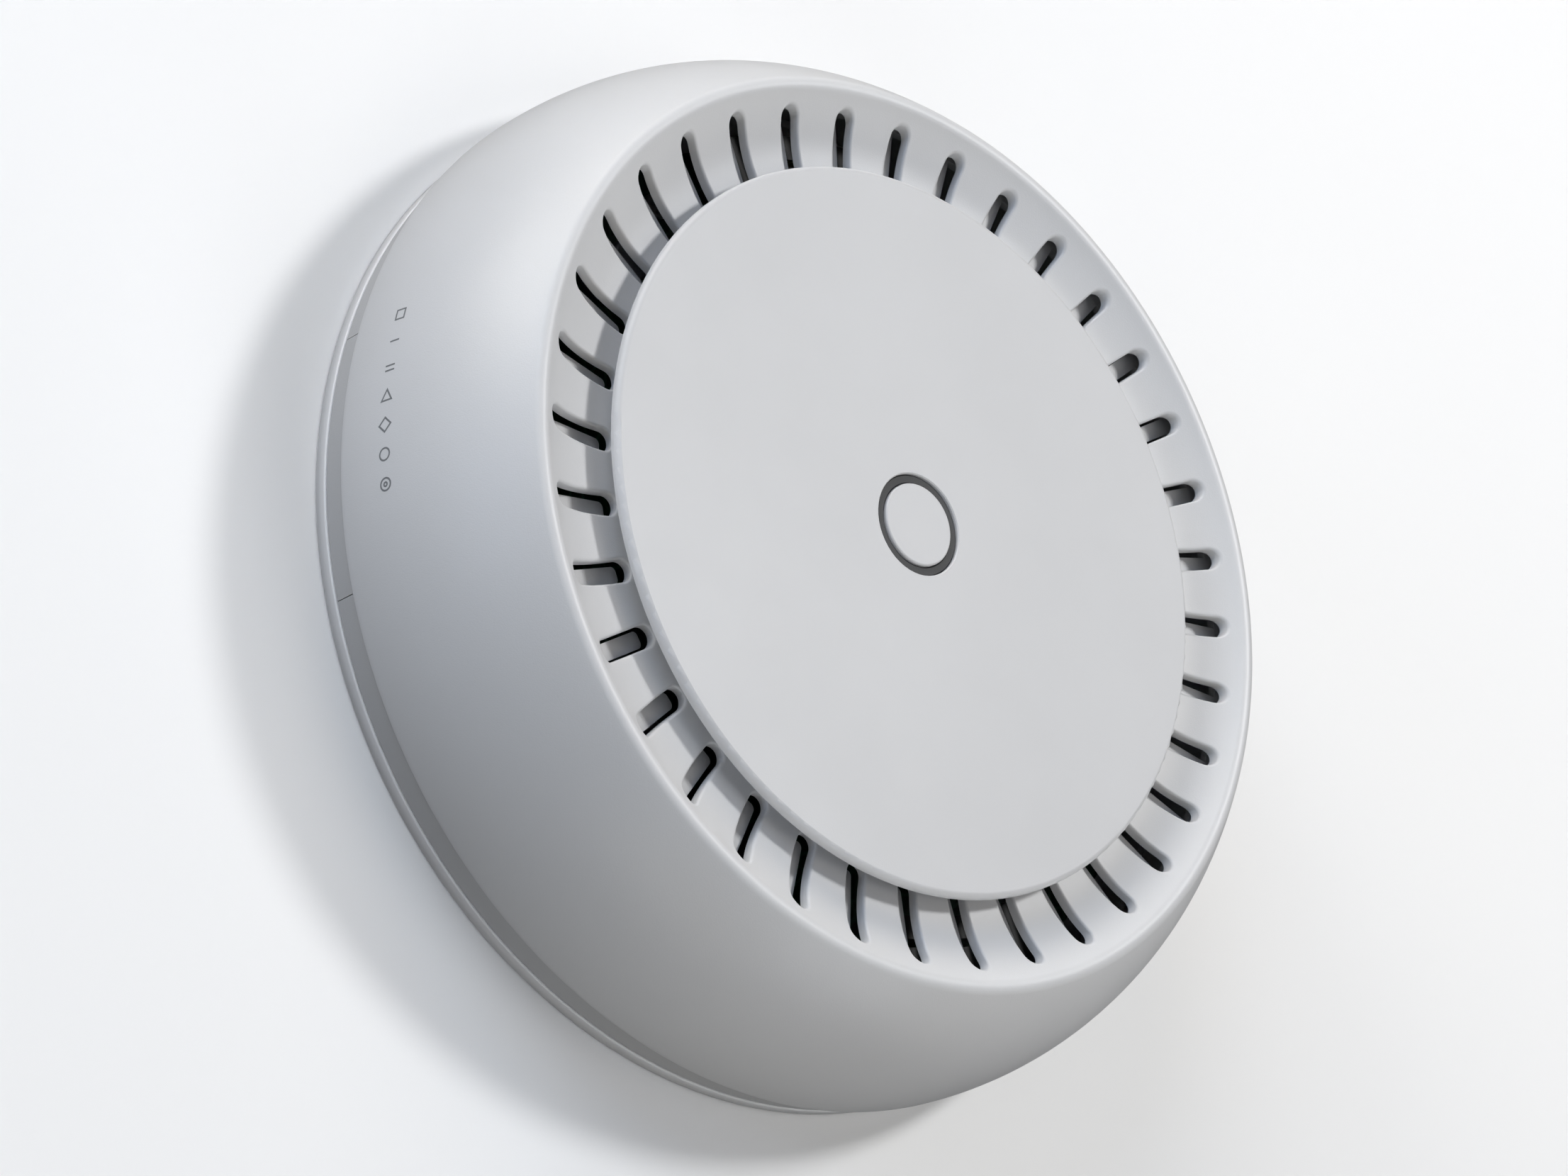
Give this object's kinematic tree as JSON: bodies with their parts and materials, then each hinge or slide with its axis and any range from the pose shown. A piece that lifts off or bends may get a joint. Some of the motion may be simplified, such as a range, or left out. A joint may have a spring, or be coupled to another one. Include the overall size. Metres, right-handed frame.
{
  "type": "ceiling access point",
  "caption": "Round white ceiling access point with a ring of air vents around a centre disc and button, on a twist-lock mounting plate with a cable recess.",
  "frame": {"origin": "centre of the mounting plate's back face, which lies on the ceiling", "axes": "+Z out of the front face, towards the room; -Y towards the cable exit and the status lights"},
  "size_m": [0.191, 0.191, 0.0461],
  "materials": {
    "white_shell": "satin moulded ABS, fine spark texture",
    "disc_white": "satin moulded ABS, very smooth",
    "white_plate": "satin moulded ABS",
    "dark_grey_plastic": "satin",
    "black_plastic": "moulded nylon",
    "ivory_plastic": "moulded nylon",
    "zinc_steel": "zinc plated",
    "spring_steel": "drawn wire",
    "jack_shell": "nickel plated sheet",
    "tinned_steel": "tinned sheet",
    "nickel": "bright nickel",
    "gold_contact": "gold flash",
    "plain_aluminium": "pressed or extruded, plain",
    "circuit_board": "solder mask",
    "flex_film": "polyimide and polyester film",
    "chip_black": "moulded epoxy",
    "ferrite": "sintered ferrite",
    "capacitor_can": "drawn can",
    "thermal_pad": "silicone gap pad",
    "grey_rubber": "soft rubber",
    "foam_black": "closed cell foam",
    "led_lens": "clear epoxy over a white case",
    "clear_guide": "clear acrylic",
    "label_film": "printed film, left blank"
  },
  "bodies": {
    "ceiling_plate": {"mounting_plate": "white_plate"},
    "access_point": {"front_housing": "white_shell", "front_disc": "disc_white", "button_bezel": "dark_grey_plastic", "vent_baffle_ring": "white_shell", "disc_screws": "zinc_steel", "button_spring": "spring_steel", "button_switch": "black_plastic", "button_board": "circuit_board", "button_board_screws": "zinc_steel", "button_flex": "flex_film", "flex_connectors": "ivory_plastic", "back_cover": "white_shell", "rating_label": "label_film", "case_screws": "zinc_steel", "screw_caps": "grey_rubber", "main_board": "circuit_board", "board_screws": "zinc_steel", "heat_spreader": "plain_aluminium", "lower_thermal_pad": "thermal_pad", "ethernet_jack_1": "jack_shell", "ethernet_jack_2": "jack_shell", "ethernet_contacts": "gold_contact", "dc_jack": "black_plastic", "dc_jack_pin": "nickel", "reset_switch": "black_plastic", "ethernet_transformers": "black_plastic", "poe_transformer": "ferrite", "power_inductors": "ferrite", "board_capacitors": "capacitor_can", "processor": "chip_black", "memory_chips": "chip_black", "radio_chips": "chip_black", "shield_can_1": "tinned_steel", "shield_can_2": "tinned_steel", "upper_thermal_pad": "thermal_pad", "heat_sink": "plain_aluminium", "antenna_1": "tinned_steel", "antenna_2": "tinned_steel", "antenna_3": "tinned_steel", "antenna_4": "tinned_steel", "antenna_spacers": "ivory_plastic", "status_leds": "led_lens", "led_light_guide": "clear_guide", "led_gasket": "foam_black"},
    "mode_button": {"mode_button": "disc_white", "switch_plunger": "black_plastic"},
    "reset_button": {"reset_button": "black_plastic"},
    "cable_cover": {"cable_cover": "white_shell"}
  },
  "joints": [
    {"name": "twist_lock", "type": "hinge", "parent": "ceiling_plate", "child": "access_point", "pos_m": [0, 0, 0], "axis": [0, 0, 1], "range_deg": [0, 18]},
    {"name": "mode_press", "type": "slide", "parent": "access_point", "child": "mode_button", "axis": [0, 0, -1], "range_m": [0, 0.0006], "stiffness_N_per_m": 600, "springref_m": -0.0006, "deforming": ["button_spring"]},
    {"name": "reset_press", "type": "slide", "parent": "access_point", "child": "reset_button", "axis": [0, 1, 0], "range_m": [0, 0.0006], "stiffness_N_per_m": 800, "springref_m": -0.0006},
    {"name": "cable_cover_pull", "type": "slide", "parent": "access_point", "child": "cable_cover", "axis": [0, -1, 0], "range_m": [0, 0.012]}
  ]
}
